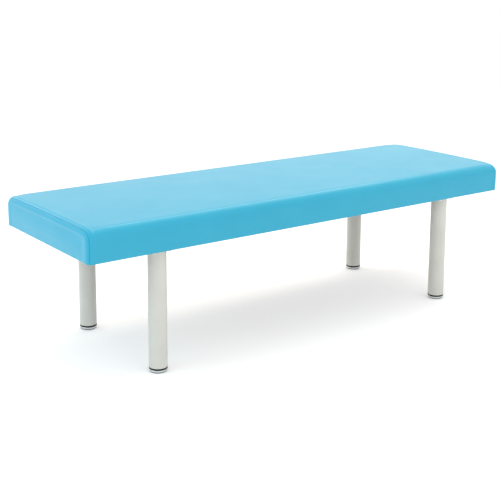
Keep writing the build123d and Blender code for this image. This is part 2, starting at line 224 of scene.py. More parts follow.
def outline_at(x, inset, low):
    """The cushion's cross-sections at places x, drawn in by inset: a row for each point round it.

    The rows run from low on the front side up over the top and down to low at the back.
    """
    share = end_share(x)
    half = half_width - inset - waist_draw_in * (1 - share)
    apex = pad_top - inset - crown_end_drop * share
    shoulder = pad_top - inset - crown_rise
    edge = long_edge_radius - inset
    rise = apex - shoulder
    crown_radius = (half**2 + rise**2) / (2 * rise)
    crown_centre = apex - crown_radius
    edge_y = half - edge
    edge_z = crown_centre + np.sqrt((crown_radius - edge) ** 2 - edge_y**2)
    lean = np.arctan2(edge_y, edge_z - crown_centre)

    side = np.linspace(0, 1, side_steps, endpoint=False)[:, None]
    side_z = low + (edge_z - low) * side
    drawn = np.clip((side_middle - side_z) / (side_middle - pad_bottom), 0, None)
    side_y = half - side_draw_in * drawn**2
    turn = np.linspace(0, 1, edge_steps, endpoint=False)[:, None] * (pi / 2 - lean)
    over = lean * (1 - np.linspace(0, 1, crown_steps)[:, None])
    y = np.concatenate([side_y, edge_y + edge * np.cos(turn), crown_radius * np.sin(over)])
    z = np.concatenate([side_z, edge_z + edge * np.sin(turn), crown_centre + crown_radius * np.cos(over)])
    droop = corner_droop * smooth_share(np.abs(x), half_length - corner_reach, half_length)
    droop = droop * smooth_share(y, half_width - corner_reach, half_width - edge_y_margin)
    z = z - droop * smooth_share(z, side_middle, pad_top - crown_rise)
    return np.concatenate([-y, y[-2::-1]]), np.concatenate([z, z[-2::-1]])


def grid_faces(rows, columns, wrap_rows=False, wrap_columns=False):
    """Quads of a grid whose points are numbered row by row; a wrapped one closes on itself."""
    return [
        (r * columns + c, r * columns + (c + 1) % columns,
         (r + 1) % rows * columns + (c + 1) % columns, (r + 1) % rows * columns + c)
        for r in range(rows - (not wrap_rows))
        for c in range(columns - (not wrap_columns))
    ]


def new_mesh(name, points, edges=(), faces=()):
    """A mesh from points and the lines or faces between them."""
    mesh = bpy.data.meshes.new(name)
    mesh.from_pydata([tuple(map(float, p)) for p in points], edges, faces)
    return mesh


def in_scene(name, data):
    """A new object in the scene."""
    thing = bpy.data.objects.new(name, data)
    bpy.context.scene.collection.objects.link(thing)
    return thing


def shade(mesh, angle=sharp_angle):
    """Smooth shading, but for edges sharper than an angle."""
    mesh.polygons.foreach_set("use_smooth", [True] * len(mesh.polygons))
    mesh.set_sharp_from_angle(angle=angle)


def make_piece(name, points, faces, finish, angle=sharp_angle, middle=None, merge=False):
    """A mesh object from points and faces; middle is a point that its faces look away from."""
    mesh = new_mesh(name, points, faces=faces)
    if merge:
        work = bmesh.new()
        work.from_mesh(mesh)
        bmesh.ops.remove_doubles(work, verts=work.verts, dist=merge_distance)
        bmesh.ops.dissolve_degenerate(work, edges=work.edges, dist=merge_distance / 2)
        bmesh.ops.recalc_face_normals(work, faces=work.faces)
        work.to_mesh(mesh)
        work.free()
    elif middle is not None:
        facing = sum(f.normal.dot(f.center - Vector(middle)) * f.area for f in mesh.polygons)
        if facing < 0:
            mesh.flip_normals()
    mesh.materials.append(finish)
    shade(mesh, angle)
    return in_scene(name, mesh)


def foam_block():
    """The foam's closed form: a grid over the top and sides, two end faces and a flat base."""
    turns = np.linspace(pi / 2, 0, foam_end_steps)
    straight = half_length - foam_inset - foam_end_radius
    x = np.concatenate([
        -straight - foam_end_radius * np.sin(turns),
        np.linspace(-straight, straight, foam_rows)[1:-1],
        straight + foam_end_radius * np.sin(turns[::-1]),
    ])
    inset = np.full_like(x, foam_inset)
    inset[:len(turns)] += foam_end_radius * (1 - np.cos(turns))
    inset[-len(turns):] += foam_end_radius * (1 - np.cos(turns[::-1]))
    y, z = outline_at(x, inset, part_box("deck_board")[1].z)
    rows, columns = y.shape
    points = np.stack([np.broadcast_to(x, y.shape), y, z], axis=-1).reshape(-1, 3)
    faces = grid_faces(rows, columns)
    last = (rows - 1) * columns
    faces += [(c, last + c, last + c + 1, c + 1) for c in range(columns - 1)]
    faces += [tuple(r * columns + c for r in range(rows)) for c in (0, columns - 1)]
    return points, faces


foam, shader, tree = new_finish("cut_foam", foam_cream, 0.9)
cells = add_node(tree, "ShaderNodeTexVoronoi", {"Vector": stretched_points(tree), "Scale": 700})
# The pores are drawn darker than the foam round them: painted shade in the pits.
pores = spread(cells, 0.1, 0.7)
add_pattern(shader, two_colors(pores, foam_shade, foam_cream), None, (pores, 0.5 * mm))
foam_piece = make_piece("foam_core", *foam_block(), foam, merge=True)
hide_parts("foam_pad")
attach(foam_piece, "table")

# Side wadding. A strip of polyester wadding glued round the outside of the frame and the edge of
# the deck, which softens the timber under the cover. It is uneven, as torn fibre is.
wadding_low, wadding_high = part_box("side_wadding")
frame_half_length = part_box("rail_front")[1].x
frame_half_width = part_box("rail_back")[1].y
rail_corner_radius = 8 * mm
wadding_corner_radius = 26 * mm
wadding_clear = 1.6 * mm
wadding_lumps = 0.5 * mm
lump_scale, lump_scale_up = 9, 30
wadding_parts = 40
wadding_white = (0.90, 0.90, 0.88)
wadding_grey = (0.76, 0.76, 0.74)


def rounded_rectangle(half_x, half_y, radius, steps=6, pitch=None):
    """Points round a rounded rectangle, anticlockwise, with extra ones along its sides."""
    points = []
    for turn, (sx, sy) in enumerate(((1, 1), (-1, 1), (-1, -1), (1, -1))):
        centre = Vector((sx * (half_x - radius), sy * (half_y - radius)))
        for i in range(steps + 1):
            angle = (turn + i / steps) * pi / 2
            points.append(centre + radius * Vector((cos(angle), sin(angle))))
    if not pitch:
        return points
    spaced = []
    for here, after in zip(points, points[1:] + points[:1]):
        parts = max(1, round((after - here).length / pitch))
        spaced += [here.lerp(after, i / parts) for i in range(parts)]
    return spaced


def wadding_strip():
    """A closed ring with rounded corners, thick as the space that the cover leaves it."""
    inner = rounded_rectangle(frame_half_length, frame_half_width, rail_corner_radius)
    outer = rounded_rectangle(half_length - wadding_clear, half_width - wadding_clear - waist_draw_in,
                              wadding_corner_radius)
    low, high = wadding_low.z, wadding_high.z
    points = []
    for loop, z in ((inner, low), (outer, low), (outer, high), (inner, high)):
        for here, after in zip(loop, loop[1:] + loop[:1]):
            parts = wadding_parts if (after - here).length > half_width / 2 else 1
            for p in (here.lerp(after, i / parts) for i in range(parts)):
                lump = noise.noise(Vector((p.x * lump_scale, p.y * lump_scale, z * lump_scale_up)))
                thin = 0 if loop is inner else wadding_lumps * (0.5 + lump)
                points.append((p.x - thin * (abs(p.x) > frame_half_length) * copysign(1, p.x),
                               p.y - thin * (abs(p.y) > frame_half_width) * copysign(1, p.y), z))
    return points, grid_faces(4, len(points) // 4, True, True)


wadding, shader, tree = new_finish("polyester_wadding", wadding_white, 0.95)
fibres = cloudy(stretched_points(tree, (1, 1, 3)), 420, 6.0, 0.7)
add_pattern(shader, two_colors(spread(fibres, 0.3, 0.7), wadding_grey, wadding_white), None,
            (fibres, 0.8 * mm))
wadding_piece = make_piece("wadding_strip", *wadding_strip(), wadding, merge=True)
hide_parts("side_wadding")
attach(wadding_piece, "table")

# Cover, main panel. One sheet of sky-blue vinyl leather over the top and both long sides, stapled
# under the frame and turned in along the end seams, where its allowance raises a soft band. The
# foam swells it from inside, as a short cloth simulation works out.
vinyl_blue = (0.037, 0.413, 0.611)
vinyl_gloss = (0.6, 0.94, 1.0)
vinyl_blue_deep = (0.032, 0.395, 0.590)
vinyl_thickness = 1.0 * mm
seam_turn = radians(45)
lip_radius = 1.9 * mm
lip_gap = 0.06 * mm
lip_steps = 6
flap_depth = 5.0 * mm
band_height = 0.9 * mm
band_width = 16 * mm
band_slope = 5 * mm
near_seam = (2.6, 4, 5.5, 7.5, 9.5, 11.5, 13.5, 15.5, 16.5, 17.5, 18.5, 19.5, 20.5, 22)
far_rows = (26, 32, 42)
fold_radius = 2.0 * mm
fold_steps = 4
hem_width = 40 * mm
hem_rows = 3
column_pitch = 12 * mm
plate_trim = 1.5 * mm
cloth_frames = 20
cloth_pitch = 11 * mm
cloth_quality = 6
cloth_mass = 0.02
cloth_stiffness = 12
cloth_bending = 0.4
cloth_pressure = 40
cloth_cap = 3 * mm
cloth_smoothing = 30
swell_start = 0.5 * mm
foam_grip = 0.5
foam_unevenness = 0.25
top_wave, side_wave = 0.23, 0.13
top_seed, side_seed = 8.0, 3.0
seam_grip, seam_free = 18 * mm, 90 * mm
hem_grip = 12 * mm
base_tight, side_free = 2 * mm, 30 * mm
staple_pitch = 62 * mm
scallop_depth = 0.35 * mm
scallop_low, scallop_high = 4 * mm, 45 * mm
scallop_start, scallop_full = 30 * mm, 60 * mm
leg_places = {}
for leg in leg_names:
    tube_low, tube_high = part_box(f"leg_tube_{leg}")
    leg_places[leg] = ((tube_low.x + tube_high.x) / 2, (tube_low.y + tube_high.y) / 2)
leg_x, leg_y = leg_places["back_right"]
plate_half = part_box("mount_plate_back_right")[1].x - leg_x
trim_half = plate_half + plate_trim
fold_top = pad_bottom + fold_radius
hem_taper_start = (half_length + leg_x) / 2
fold_levels = [(fold_radius * (1 - cos(turn)), fold_top - fold_radius * sin(turn))
               for turn in np.linspace(0, pi / 2, fold_steps + 1)[1:]]
cushion_middle = (0, 0, side_middle)


def from_plates(x, y):
    """How far a place lies from the cut-out round the nearest leg plate; below 0 inside it."""
    return min(max(abs(x - px), abs(y - py)) for px, py in leg_places.values()) - trim_half


def on_edge(angle):
    """A place on the rounded end edge: x along the table and its inset of the outline."""
    return np.array([half_length - end_edge_radius * (1 - sin(angle)), end_edge_radius * (1 - cos(angle))])


def outwards(angle):
    """The way out of the cushion at a place on the rounded end edge."""
    return np.array([sin(angle), -cos(angle)])


def seam_stations(side, distances):
    """Places across a panel's edge, from its turned-in flap, round the lip and away from the seam.

    Each is a place x along the table and an inset of the outline. side is -1 on the main panel
    and 1 on the end panel, and distances are measured from the seam along the cover.
    """
    out = outwards(seam_turn)
    along = np.array([cos(seam_turn), sin(seam_turn)]) * side
    centre = on_edge(seam_turn) + out * (band_height - lip_radius) + along * (lip_radius + lip_gap)
    stations = [centre - along * lip_radius - out * flap_depth * share for share in (1.0, 0.5)]
    for angle in np.linspace(0, pi / 2, lip_steps):
        stations.append(centre + lip_radius * (out * sin(angle) - along * cos(angle)))
    for distance in distances:
        raised = band_height * (1 - smooth_share(distance, band_width, band_width + band_slope))
        angle = seam_turn + side * distance / end_edge_radius
        if angle < 0:
            stations.append(np.array([half_length - end_edge_radius + angle * end_edge_radius, -raised]))
        elif angle > pi / 2:
            beyond = (angle - pi / 2) * end_edge_radius
            stations.append(np.array([half_length + raised, end_edge_radius + beyond]))
        else:
            stations.append(on_edge(angle) + outwards(angle) * raised)
    return np.array(stations)


def grid_normals(grid):
    """Unit normals of a grid of points, pointing out of the cushion."""
    normals = np.cross(np.gradient(grid, axis=1), np.gradient(grid, axis=0))
    return normals / np.maximum(np.linalg.norm(normals, axis=-1, keepdims=True), 1e-12)


def foam_hold(points, wave, seed):
    """How firmly the foam holds the vinyl at each point: a little unevenly, as cut foam does."""
    values = [noise.noise(Vector(p) / wave + Vector((seed, 0, 0))) for p in points.reshape(-1, 3)]
    return foam_grip * (1 + foam_unevenness * np.array(values).reshape(points.shape[:-1]))


def thinned(steps, pitch):
    """Which rows to keep so that they stand about a pitch apart, with the first and the last."""
    kept, reach = [0], 0.0
    for number, step in enumerate(steps):
        reach += step
        if reach > pitch:
            kept.append(number + 1)
            reach = 0.0
    kept[-1] = len(steps)
    return kept


def swollen(grid, hold):
    """How foam pressing from inside moves a sheet of vinyl, by cloth simulation on a coarser copy.

    hold is 1 where the sheet is sewn or stapled down and less where only the foam holds it.
    """
    places, kept = [], []
    for axis in (0, 1):
        steps = np.linalg.norm(np.diff(grid, axis=axis), axis=-1).mean(axis=1 - axis)
        places.append(np.concatenate([[0], np.cumsum(steps)]))
        kept.append(thinned(steps, cloth_pitch))
    coarse = grid[np.ix_(*kept)]
    faces = grid_faces(*coarse.shape[:2])
    sheet = make_piece("sheet", coarse.reshape(-1, 3), faces, foam, middle=cushion_middle)
    held = sheet.vertex_groups.new(name="held")
    for number, weight in enumerate(hold[np.ix_(*kept)].ravel()):
        held.add([number], float(weight), "REPLACE")
    cloth = sheet.modifiers.new("swell", "CLOTH")
    cloth.point_cache.frame_end = cloth_frames
    cloth.collision_settings.use_collision = False
    settings = cloth.settings
    settings.quality = cloth_quality
    settings.mass = cloth_mass
    settings.tension_stiffness = settings.compression_stiffness = cloth_stiffness
    settings.bending_stiffness = cloth_bending
    settings.vertex_group_mass = "held"
    settings.pin_stiffness = 1.0
    settings.use_pressure = True
    settings.uniform_pressure_force = cloth_pressure
    settings.effector_weights.gravity = 0
    for number in range(1, cloth_frames + 1):
        bpy.context.scene.frame_set(number)
    shown = sheet.evaluated_get(bpy.context.evaluated_depsgraph_get())
    moved = np.array([v.co for v in shown.data.vertices]).reshape(coarse.shape) - coarse
    bpy.data.meshes.remove(sheet.data)
    bpy.context.scene.frame_set(1)
    length = np.linalg.norm(moved, axis=-1, keepdims=True)
    moved *= np.minimum(1, cloth_cap / np.maximum(length, 1e-9))
    for axis in (0, 1):
        line = places[axis][kept[axis]]
        moved = np.apply_along_axis(lambda values: np.interp(places[axis], line, values), axis, moved)
    for _ in range(cloth_smoothing):
        moved[1:-1] = (moved[:-2] + 2 * moved[1:-1] + moved[2:]) / 4
        moved[:, 1:-1] = (moved[:, :-2] + 2 * moved[:, 1:-1] + moved[:, 2:]) / 4
    return moved


def scallops(along, height, high, from_end, start, end):
    """How far the vinyl is drawn in between the staples, less with height and towards the ends."""
    drawn = scallop_depth * (1 - np.cos(2 * pi * along / staple_pitch)) / 2
    return drawn * (1 - smooth_share(height, scallop_low, high)) * smooth_share(from_end, start, end)


def main_panel():
    """The main panel's outer face as one grid, from hem to hem."""
    rim = seam_stations(-1, np.array([*near_seam, *far_rows]) * mm)
    stop = rim[-1][0]
    notches = [leg_x - trim_half, leg_x + trim_half]
    marks = [-stop, *(-n for n in notches[::-1]), *notches, stop]
    middle = []
    for here, after in zip(marks, marks[1:]):
        parts = round((after - here) / column_pitch)
        middle += [here + (after - here) * i / parts for i in range(parts)]
    x = np.concatenate([-rim[:-1, 0], middle, rim[::-1, 0]])
    inset = np.concatenate([rim[:-1, 1], np.zeros(len(middle)), rim[::-1, 1]])
    y, z = outline_at(x, inset, fold_top)
    grid = np.stack([np.broadcast_to(x, y.shape), y, z], axis=-1)

    from_seam = half_length - np.abs(grid[..., 0])
    height = grid[..., 2] - pad_bottom
    free = smooth_share(from_seam, seam_grip, seam_free) * smooth_share(height, base_tight, side_free)
    on_top = smooth_share(grid[..., 2], side_middle, pad_top - crown_rise)
    hold = foam_hold(grid, side_wave, side_seed) * (1 - on_top)
    hold += foam_hold(grid, top_wave, top_seed) * on_top
    hold[(from_seam < seam_grip) | (height < hem_grip)] = 1
    drawn = scallops(grid[..., 0], height, scallop_high, from_seam, scallop_start, scallop_full)
    normals = grid_normals(grid)
    swell = (swollen(grid, hold) * normals).sum(axis=-1)
    grid = grid + normals * ((swell - swell_start) * free - drawn)[..., None]

    def under(row, side):
        """The fold and the hem below one bottom edge, from the edge inwards."""
        edge = grid[row]
        start = edge[:, 1] * side
        taper = np.clip((np.abs(edge[:, 0]) - hem_taper_start) / (half_length - hem_taper_start), 0, None)
        rows = [(start - drawn, z) for drawn, z in fold_levels]
        inwards = np.linspace(leg_y + trim_half, half_width - hem_width, hem_rows + 1)
        rows += [(np.full_like(start, stop_y), pad_bottom) for stop_y in inwards]
        made = []
        for row_y, row_z in rows:
            row_x = edge[:, 0] - np.sign(edge[:, 0]) * (start - row_y) * taper
            made.append(np.stack([row_x, row_y * side, np.full_like(start, row_z)], axis=-1))
        return made

    front, back = under(0, -1), under(-1, 1)
    grid = np.concatenate([np.array(front[::-1]), grid, np.array(back)])
    points = grid.reshape(-1, 3)
    kept = []
    for face in grid_faces(*grid.shape[:2]):
        x, y, z = points[list(face)].mean(axis=0)
        if from_plates(x, y) >= 0 or z >= fold_top:
            kept.append(face)
    return points, kept


vinyl, shader, tree = new_finish("sky_blue_vinyl", vinyl_blue, 0.30)
shader.inputs["Specular Tint"].default_value = (*vinyl_gloss, 1)
points = stretched_points(tree)
clouds = cloudy(points, 7, 3.0)
pebbles = add_node(tree, "ShaderNodeTexVoronoi", {"Vector": points, "Scale": 900})
creases = cloudy(points, 1900, 3.0, 0.6)
add_pattern(shader, two_colors(spread(clouds, 0.3, 0.7), vinyl_blue, vinyl_blue_deep),
            spread(clouds, 0.3, 0.7, 0.285, 0.32), (pebbles, 0.05 * mm), (creases, 0.03 * mm))


def skin(piece, thickness, offset=-1):
    """Give a sheet its thickness."""
    modifier = piece.modifiers.new("thickness", "SOLIDIFY")
    modifier.thickness = thickness
    modifier.offset = offset
    modifier.use_even_offset = False
    return piece


main_cover = make_piece("vinyl_main_panel", *main_panel(), vinyl, middle=cushion_middle)
skin(main_cover, vinyl_thickness)
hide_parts("cover_main_panel")
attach(main_cover, "table")

# Cover, end panels. An inverted U of the same vinyl closes each end. It is sewn to the main panel
# along the crest of the edge, and the foam behind pushes it out a little in its middle.
end_far_row = 25
end_bulge = 1.2 * mm
fill_rows = 28
side_band_width = 35 * mm
fill_start = 26 * mm
base_reach_share = 0.62
end_wave = 0.12
end_seed, end_shift = 5.0, 3.0
corner_tight = -4 * mm
side_fill, top_fill, base_fill = 60 * mm, 40 * mm, 40 * mm
end_scallop_high, end_scallop_full = 40 * mm, 40 * mm


def end_panel(side):
    """One end panel's outer face: rows along the seam, then a fan down to the bottom edge."""
    distances = np.array([*near_seam, end_far_row]) * mm
    rim = seam_stations(1, distances)
    hidden = np.zeros(len(rim) - len(distances))
    reach_from_seam = np.concatenate([hidden, distances, np.full(fill_rows, np.inf)])
    y, z = outline_at(rim[:, 0], rim[:, 1], fold_top)
    rows = [np.stack([np.full(len(y), x), y[:, i], z[:, i]], axis=-1) for i, x in enumerate(rim[:, 0])]
    edge = rows[-1]
    steps = np.linalg.norm(np.diff(edge, axis=0), axis=1)
    along = np.concatenate([[0], np.cumsum(steps)]) / steps.sum() * 2 - 1
    base_y = along * half_width * base_reach_share
    base = np.stack([edge[:, 0], base_y, np.full(len(along), fold_top)], axis=-1)
    rows += [edge + (base - edge) * share for share in np.linspace(0, 1, fill_rows + 1)[1:]]
    grid = np.array(rows)

    from_side = half_width - np.abs(grid[..., 1])
    in_y = from_side - fill_start
    in_z = pad_top - fill_start - grid[..., 2]
    height = grid[..., 2] - pad_bottom
    free = smooth_share(in_y, corner_tight, side_fill) * smooth_share(in_z, corner_tight, top_fill)
    free = free * smooth_share(height, base_tight, base_fill)
    push = end_bulge * free * (1 - (grid[..., 1] / half_width) ** 4)
    hold = foam_hold(grid + np.array([side * end_shift, 0, 0]), end_wave, end_seed)
    hold[reach_from_seam < fill_start] = 1
    hold[height < hem_grip] = 1
    push = push + swollen(grid, hold)[..., 0] * free
    drawn = scallops(grid[..., 1], height, end_scallop_high, in_y, 0, end_scallop_full)
    at_side = 1 - smooth_share(from_side, side_band_width, side_band_width + band_slope)
    past_band = smooth_share(reach_from_seam, band_width, band_width + band_slope)[:, None]
    grid[..., 0] += push - drawn + band_height * at_side * past_band

    faces = [(b, a, d, c) for a, b, c, d in grid_faces(*grid.shape[:2])]
    points = list(grid.reshape(-1, 3))
    numbers = np.arange(len(points)).reshape(grid.shape[:2])
    chain = np.concatenate([numbers[:, 0], numbers[-1, 1:], numbers[-2::-1, -1]]).tolist()
    edge = np.array([points[i] for i in chain])
    hem = [(drawn, pad_bottom) for drawn in np.linspace(fold_radius, hem_width, hem_rows + 2)[1:]]
    for drawn, z in fold_levels + hem:
        ring = range(len(points), len(points) + len(edge))
        points += list(edge * (1, 1 - drawn / half_width, 0) + (-drawn, 0, z))
        faces += [(chain[i + 1], chain[i], ring[i], ring[i + 1]) for i in range(len(ring) - 1)]
        chain = ring
    return np.array(points) * (side, 1, 1), faces


for end, side in (("left", -1), ("right", 1)):
    panel = make_piece(f"vinyl_end_{end}", *end_panel(side), vinyl, middle=cushion_middle)
    skin(panel, vinyl_thickness)
    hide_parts(f"cover_end_{end}")
    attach(panel, "table")

# Seam thread. Bonded polyester, lockstitched through both panels; its blue is darker than the vinyl as
# painted shade along the seam line.
# Only the short bars where it crosses the joint show, down between the two lips.
# The thread's deep blue is painted shade: darker than the vinyl it matches, to draw the shadowed seam line.
thread_painted_shade_blue = (0.020, 0.230, 0.400)
thread_radius = 0.34 * mm
stitch_pitch = 6.5 * mm
stitch_length = 4.0 * mm
stitch_depth = 0.95 * mm


def new_tree(name, **sizes):
    """A geometry tree and its inputs: Geometry, and one for each size, material or count."""
    kinds = {float: "NodeSocketFloat", int: "NodeSocketInt", str: "NodeSocketMaterial"}
    tree = bpy.data.node_groups.new(name, "GeometryNodeTree")
    for way in ("INPUT", "OUTPUT"):
        tree.interface.new_socket("Geometry", in_out=way, socket_type="NodeSocketGeometry")
    for label, value in sizes.items():
        tree.interface.new_socket(label, in_out="INPUT", socket_type=kinds[type(value)])
    return tree, tree.nodes.new("NodeGroupInput").outputs


def calculate(operation, first, second):
    """The outcome of arithmetic on two values of a tree."""
    return add_node(first.id_data, "ShaderNodeMath", {0: first, 1: second}, operation=operation)


def vector_of(tree, x=0.0, y=0.0, z=0.0):
    """Three values of a tree as one vector."""
    return add_node(tree, "ShaderNodeCombineXYZ", {0: x, 1: y, 2: z})


def along_line(tree, axis):
    """The turn that lays an axis of each copy along the line that it stands on."""
    return add_node(tree, "FunctionNodeAlignRotationToVector",
                    {"Vector": add_node(tree, "GeometryNodeInputTangent")}, axis=axis)


def copies_on(points, shape, **how):
    """A copy of a shape on every point."""
    inputs = {"Points": points, "Instance": shape, **how}
    return add_node(points.id_data, "GeometryNodeInstanceOnPoints", inputs)


def close_tree(inside, geometry):
    """End a tree: real copies, their finish, and the way out."""
    tree = geometry.id_data
    real = add_node(tree, "GeometryNodeRealizeInstances", {"Geometry": geometry})
    done = add_node(tree, "GeometryNodeSetMaterial", {"Geometry": real, "Material": inside["finish"]})
    tree.links.new(done, tree.nodes.new("NodeGroupOutput").inputs["Geometry"])


def grow(name, tree, points, edges=(), turns=None, **sizes):
    """Run a tree on some points or lines and keep the result as a plain mesh."""
    start = new_mesh(f"{name}_start", points, edges)
    if turns is not None:
        start.attributes.new("turn", "FLOAT", "POINT").data.foreach_set("value", turns)
    piece = in_scene(name, start)
    modifier = piece.modifiers.new("build", "NODES")
    modifier.node_group = tree
    for item in tree.interface.items_tree:
        if item.in_out == "INPUT" and item.name in sizes:
            modifier[item.identifier] = sizes[item.name]
    shown = piece.evaluated_get(bpy.context.evaluated_depsgraph_get())
    mesh = bpy.data.meshes.new_from_object(shown)
    piece.modifiers.remove(modifier)
    piece.data = mesh
    bpy.data.meshes.remove(start)
    mesh.name = name
    shade(mesh)
    return piece


stitches, inside = new_tree("seam_stitches", pitch=0.0, length=0.0, radius=0.0, finish="")
path = add_node(stitches, "GeometryNodeMeshToCurve", {"Mesh": inside["Geometry"]})
inputs = {"Curve": path, "Length": inside["pitch"]}
spaced = add_node(stitches, "GeometryNodeResampleCurve", inputs, mode="LENGTH")
bar = add_node(stitches, "GeometryNodeMeshUVSphere", {"Segments": 8, "Rings": 6, "Radius": inside["radius"]})
stretch = calculate("DIVIDE", calculate("DIVIDE", inside["length"], inside["radius"]), 2.0)
size = vector_of(stitches, 1.0, 1.0, stretch)
close_tree(inside, copies_on(spaced, bar, Rotation=along_line(stitches, "Z"), Scale=size))

thread, shader, tree = new_finish("seam_thread", thread_painted_shade_blue, 0.55)
twist = add_node(tree, "ShaderNodeTexWave", {"Vector": stretched_points(tree), "Scale": 1400}, "Fac")
add_pattern(shader, two_colors(twist, thread_painted_shade_blue, vinyl_blue_deep), None, (twist, 0.1 * mm))

seam_x, seam_inset = on_edge(seam_turn) + outwards(seam_turn) * (band_height - stitch_depth)
line_points, line_edges = [], []
for side in (-1, 1):
    y, z = outline_at(np.array([side * seam_x]), np.array([seam_inset]), fold_top)
    first = len(line_points)
    line_points += [(side * seam_x, y[i, 0], z[i, 0]) for i in range(len(y))]
    line_edges += [(first + i, first + i + 1) for i in range(len(y) - 1)]
seam_thread = grow("seam_thread", stitches, line_points, line_edges, pitch=stitch_pitch,
                   length=stitch_length, radius=thread_radius, finish=thread)
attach(seam_thread, "table")

# Dust cover. A sheet of black non-woven cloth over the hems and the open frame, with square
# cut-outs round the leg plates. It is stapled round its edge only, so it sags a little.
dust_low, dust_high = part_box("dust_cover")
dust_corner = 6 * mm
dust_sag = 4.0 * mm
dust_wave = 0.8 * mm
dust_grid_pitch = 22 * mm
dust_hold, dust_free = 28 * mm, 160 * mm
ripple_start, ripple_full = 26 * mm, 60 * mm
ripple_fade, ripple_end = 60 * mm, 160 * mm
plate_fade = 40 * mm
cut_corner = 11.5 * mm
nonwoven_black = (0.028, 0.029, 0.031)
nonwoven_grey = (0.060, 0.061, 0.065)


def flat_triangles(outline, holes, inside=()):
    """Triangles that fill an outline round its convex holes, using some points inside it."""
    points, edges, owners = [], [], []
    for number, loop in enumerate((outline, *holes)):
        first = len(points)
        points += [Vector(p) for p in loop]
        edges += [(first + i, first + (i + 1) % len(loop)) for i in range(len(loop))]
        owners += [number] * len(loop)
    points += [Vector(p) for p in inside]
    owners += [0] * len(inside)
    found, _, faces, origins, *_ = delaunay_2d_cdt(points, edges, [], 1, 1e-7)
    kept = []
    for face in faces:
        around = {owners[origins[corner][0]] for corner in face}
        if around == {0} or len(around) > 1:
            kept.append(tuple(face))
    return found, kept


def shifted(loop, place):
    """A loop of points moved to a place."""
    return [Vector(p) + Vector(place) for p in loop]


def dust_sheet():
    """The sheet's triangles, sagging between its stapled edges and rippled beside them."""
    reach_x, reach_y = dust_high.x, dust_high.y
    outline = rounded_rectangle(reach_x, reach_y, dust_corner, 4, dust_grid_pitch)
    cut = rounded_rectangle(trim_half, trim_half, cut_corner, 5)
    holes = [shifted(cut, place) for place in leg_places.values()]
    count_x, count_y = round(2 * reach_x / dust_grid_pitch), round(2 * reach_y / dust_grid_pitch)
    inside = []
    for i, j in product(range(1, count_x), range(1, count_y)):
        x = -reach_x + 2 * reach_x * (i + 0.5 * (j % 2) - 0.25) / count_x
        y = -reach_y + 2 * reach_y * j / count_y
        if from_plates(x, y) > dust_grid_pitch / 3:
            inside.append((x, y))
    flat, faces = flat_triangles(outline, holes, inside)
    middle_z = (dust_low.z + dust_high.z) / 2
    points = []
    for p in flat:
        room = min(reach_x - abs(p.x), reach_y - abs(p.y))
        to_plate = from_plates(p.x, p.y)
        free = smooth_share(min(room - dust_hold, to_plate), 0, dust_free)
        ripple = dust_wave * smooth_share(room, ripple_start, ripple_full)
        ripple *= (1 - smooth_share(room, ripple_fade, ripple_end)) * smooth_share(to_plate, 0, plate_fade)
        wave = 0.5 - 0.5 * cos(2 * pi * (p.x + p.y) / staple_pitch)
        points.append((p.x, p.y, middle_z - dust_sag * free - ripple * wave))
    return points, faces


nonwoven, shader, tree = new_finish("nonwoven_cloth", nonwoven_grey, 0.88)
points = stretched_points(tree)
fibres = cloudy(points, 900, 5.0, 0.7)
dots = add_node(tree, "ShaderNodeTexVoronoi", {"Vector": points, "Scale": 620, "Randomness": 0.0})
add_pattern(shader, two_colors(spread(fibres, 0.3, 0.75), nonwoven_black, nonwoven_grey), None,
            (fibres, 0.15 * mm), (spread(dots, 0.15, 0.4), 0.2 * mm))
dust_piece = make_piece("dust_sheet", *dust_sheet(), nonwoven, middle=(0, 0, pad_top))
skin(dust_piece, dust_high.z - dust_low.z, 0)
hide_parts("dust_cover")
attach(dust_piece, "table")

# Staples. Galvanised wire staples, driven through the dust cover and the hem into the rails at
# an even pitch. Each is a flat crown with two legs, and stands a hair proud of the cloth.
staple_width = 10 * mm
staple_wire = 1.2 * mm
staple_thickness = 0.6 * mm
staple_leg = 9 * mm
staple_margin = 45 * mm
staple_edge = 0.15 * mm
rail_middle = 9 * mm
rail_y = frame_half_width - rail_middle
end_rail_x = frame_half_length - rail_middle
member_half_length = frame_half_width - 2 * rail_middle


def staple_row(reach, blocked):
    """Evenly pitched places along a row, without those under a leg plate."""
    steps = int((reach - staple_margin) // staple_pitch)
    places = [i * staple_pitch for i in range(-steps, steps + 1)]
    return [p for p in places if all(abs(p - b) > trim_half + staple_width for b in blocked)]


def together(*shapes):
    """Several shapes of a tree as one."""
    tree = shapes[0].id_data
    join = tree.nodes.new("GeometryNodeJoinGeometry")
    for shape in shapes:
        tree.links.new(shape, join.inputs[0])
    return join.outputs[0]


def moved_shape(shape, x=0.0, z=0.0):
    """A shape of a tree, moved sideways or up."""
    inputs = {"Geometry": shape, "Translation": vector_of(shape.id_data, x, 0.0, z)}
    return add_node(shape.id_data, "GeometryNodeTransform", inputs)


def soften_edges(piece, width, steps=2):
    """Round the sharp edges of a finished piece."""
    modifier = piece.modifiers.new("edges", "BEVEL")
    modifier.width = width
    modifier.segments = steps
    modifier.limit_method = "ANGLE"
    modifier.harden_normals = False
    return piece


staples, inside = new_tree("wire_staples", width=0.0, wire=0.0, thickness=0.0, leg=0.0, finish="")
width, wire, thickness, depth = [inside[name] for name in ("width", "wire", "thickness", "leg")]
crown, wire_leg = [
    add_node(staples, "GeometryNodeMeshCube", {"Size": vector_of(staples, *size)})
    for size in ((width, wire, thickness), (thickness, wire, depth))
]
one_side = calculate("DIVIDE", calculate("SUBTRACT", width, thickness), 2.0)
other_side = calculate("MULTIPLY", one_side, -1.0)
half_depth = calculate("DIVIDE", depth, 2.0)
staple = together(crown, *(moved_shape(wire_leg, place, half_depth) for place in (one_side, other_side)))
turned = add_node(staples, "GeometryNodeInputNamedAttribute", {"Name": "turn"}, data_type="FLOAT")
close_tree(inside, copies_on(inside["Geometry"], staple, Rotation=vector_of(staples, z=turned)))

